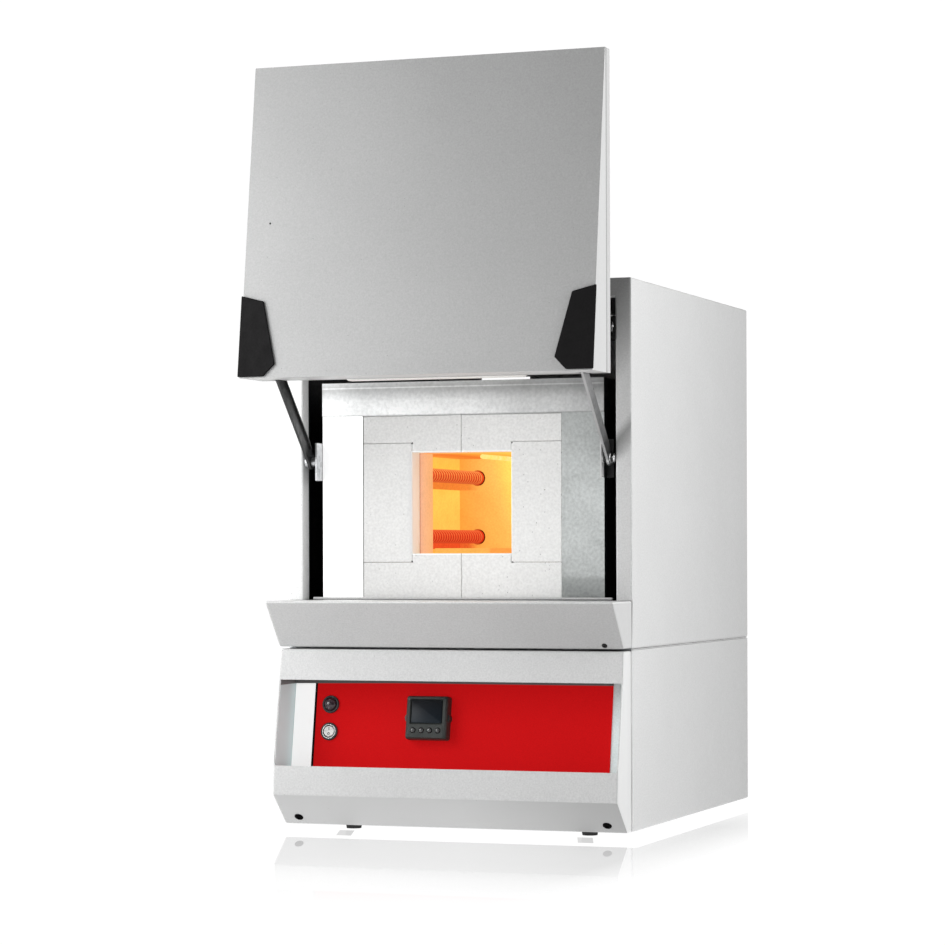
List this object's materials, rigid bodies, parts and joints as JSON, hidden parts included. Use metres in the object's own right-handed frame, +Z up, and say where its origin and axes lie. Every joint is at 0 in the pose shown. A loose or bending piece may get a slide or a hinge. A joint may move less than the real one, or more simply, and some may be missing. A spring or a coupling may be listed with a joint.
{
  "type": "chamber furnace",
  "caption": "Bench chamber furnace with a brick-lined hot chamber, spiral rod elements and a door that swings up and forward on parallel arms.",
  "frame": {"origin": "under the middle of the outer box, at the plane that the feet stand on, with the door open", "axes": "+X to the right as seen from the front, +Y to the back, +Z up"},
  "size_m": [0.4354, 0.6828, 0.908],
  "materials": {
    "arm_bracket_left": "satin",
    "arm_bracket_right": "satin",
    "backup_insulation": "matte",
    "base_insulation": "matte",
    "brick_bottom_left": "matte",
    "brick_bottom_right": "matte",
    "brick_side_left": "matte",
    "brick_side_right": "matte",
    "brick_top_left": "matte",
    "brick_top_right": "matte",
    "cable_gland": "satin",
    "chamber_box": "satin",
    "chamber_lining": "matte",
    "chamber_rear_wall": "matte",
    "chamber_top_band": "satin",
    "control_panel": "matte",
    "controller": "satin",
    "controller_button_1": "satin",
    "controller_button_2": "satin",
    "controller_button_3": "satin",
    "controller_button_4": "satin",
    "controller_window": "gloss",
    "deck_plate": "satin",
    "door_cover": "matte",
    "door_plug": "matte",
    "door_switch": "satin",
    "door_tray": "matte",
    "element_lower_left": "matte",
    "element_lower_right": "matte",
    "element_upper_left": "matte",
    "element_upper_right": "matte",
    "fascia": "matte",
    "foot_front_left": "matte",
    "foot_front_right": "matte",
    "foot_rear_left": "matte",
    "foot_rear_right": "matte",
    "grip_left": "satin",
    "grip_right": "satin",
    "hearth_tile": "matte",
    "hinge_plate_left": "satin",
    "hinge_plate_right": "satin",
    "lift_rail": "satin",
    "lower_arm_left": "satin",
    "lower_arm_right": "satin",
    "lower_case": "matte",
    "panel_label": "matte",
    "pilot_lamp": "gloss",
    "power_rocker": "satin",
    "power_unit": "satin",
    "rear_guard": "matte",
    "rear_panel_lower": "matte",
    "rear_panel_upper": "matte",
    "sill": "matte",
    "switch_bezel": "satin",
    "terminal_strap_left": "satin",
    "terminal_strap_right": "satin",
    "thermocouple": "matte",
    "throat_collar": "matte",
    "upper_arm_frame": "satin",
    "upper_case": "matte"
  },
  "bodies": {
    "cabinet": {"arm_bracket_left": "arm_bracket_left", "arm_bracket_right": "arm_bracket_right", "backup_insulation": "backup_insulation", "base_insulation": "base_insulation", "brick_bottom_left": "brick_bottom_left", "brick_bottom_right": "brick_bottom_right", "brick_side_left": "brick_side_left", "brick_side_right": "brick_side_right", "brick_top_left": "brick_top_left", "brick_top_right": "brick_top_right", "cable_gland": "cable_gland", "chamber_box": "chamber_box", "chamber_lining": "chamber_lining", "chamber_rear_wall": "chamber_rear_wall", "chamber_top_band": "chamber_top_band", "control_panel": "control_panel", "controller": "controller", "controller_window": "controller_window", "deck_plate": "deck_plate", "door_switch": "door_switch", "element_lower_left": "element_lower_left", "element_lower_right": "element_lower_right", "element_upper_left": "element_upper_left", "element_upper_right": "element_upper_right", "fascia": "fascia", "foot_front_left": "foot_front_left", "foot_front_right": "foot_front_right", "foot_rear_left": "foot_rear_left", "foot_rear_right": "foot_rear_right", "hearth_tile": "hearth_tile", "lift_rail": "lift_rail", "lower_case": "lower_case", "panel_label": "panel_label", "pilot_lamp": "pilot_lamp", "power_unit": "power_unit", "rear_guard": "rear_guard", "rear_panel_lower": "rear_panel_lower", "rear_panel_upper": "rear_panel_upper", "sill": "sill", "switch_bezel": "switch_bezel", "terminal_strap_left": "terminal_strap_left", "terminal_strap_right": "terminal_strap_right", "thermocouple": "thermocouple", "throat_collar": "throat_collar", "upper_case": "upper_case"},
    "lift_arms": {"upper_arm_frame": "upper_arm_frame"},
    "door": {"door_cover": "door_cover", "door_tray": "door_tray", "door_plug": "door_plug", "grip_left": "grip_left", "grip_right": "grip_right", "hinge_plate_left": "hinge_plate_left", "hinge_plate_right": "hinge_plate_right"},
    "lower_arm_left": {"lower_arm_left": "lower_arm_left"},
    "lower_arm_right": {"lower_arm_right": "lower_arm_right"},
    "power_rocker": {"power_rocker": "power_rocker"},
    "controller_button_1": {"controller_button_1": "controller_button_1"},
    "controller_button_2": {"controller_button_2": "controller_button_2"},
    "controller_button_3": {"controller_button_3": "controller_button_3"},
    "controller_button_4": {"controller_button_4": "controller_button_4"}
  },
  "joints": [
    {"name": "door_lift", "type": "hinge", "parent": "cabinet", "child": "lift_arms", "pos_m": [0, -0.1889, 0.597], "axis": [1, 0, 0], "range_deg": [0, 124.5]},
    {"name": "door_level", "type": "hinge", "parent": "lift_arms", "child": "door", "pos_m": [0, -0.29229, 0.7022], "axis": [1, 0, 0], "range_deg": [-124.5, 0]},
    {"name": "lower_arm_left_swing", "type": "hinge", "parent": "cabinet", "child": "lower_arm_left", "pos_m": [-0.189, -0.1889, 0.445], "axis": [1, 0, 0], "range_deg": [0, 124.5]},
    {"name": "lower_arm_right_swing", "type": "hinge", "parent": "cabinet", "child": "lower_arm_right", "pos_m": [0.189, -0.1889, 0.445], "axis": [1, 0, 0], "range_deg": [0, 124.5]},
    {"name": "power_switch_rock", "type": "hinge", "parent": "cabinet", "child": "power_rocker", "pos_m": [-0.166, -0.19031, 0.11955], "axis": [1, 0, 0], "range_deg": [0, 18]},
    {"name": "controller_button_1_press", "type": "slide", "parent": "cabinet", "child": "controller_button_1", "axis": [0, 0.9864, -0.1644], "range_m": [0, 0.0008], "stiffness_N_per_m": 300, "springref_m": -0.0004},
    {"name": "controller_button_2_press", "type": "slide", "parent": "cabinet", "child": "controller_button_2", "axis": [0, 0.9864, -0.1644], "range_m": [0, 0.0008], "stiffness_N_per_m": 300, "springref_m": -0.0004},
    {"name": "controller_button_3_press", "type": "slide", "parent": "cabinet", "child": "controller_button_3", "axis": [0, 0.9864, -0.1644], "range_m": [0, 0.0008], "stiffness_N_per_m": 300, "springref_m": -0.0004},
    {"name": "controller_button_4_press", "type": "slide", "parent": "cabinet", "child": "controller_button_4", "axis": [0, 0.9864, -0.1644], "range_m": [0, 0.0008], "stiffness_N_per_m": 300, "springref_m": -0.0004}
  ],
  "couplings": [
    {"joint": "door_level", "follows": "door_lift", "ratio": -1},
    {"joint": "lower_arm_left_swing", "follows": "door_lift", "ratio": 1},
    {"joint": "lower_arm_right_swing", "follows": "door_lift", "ratio": 1}
  ]
}
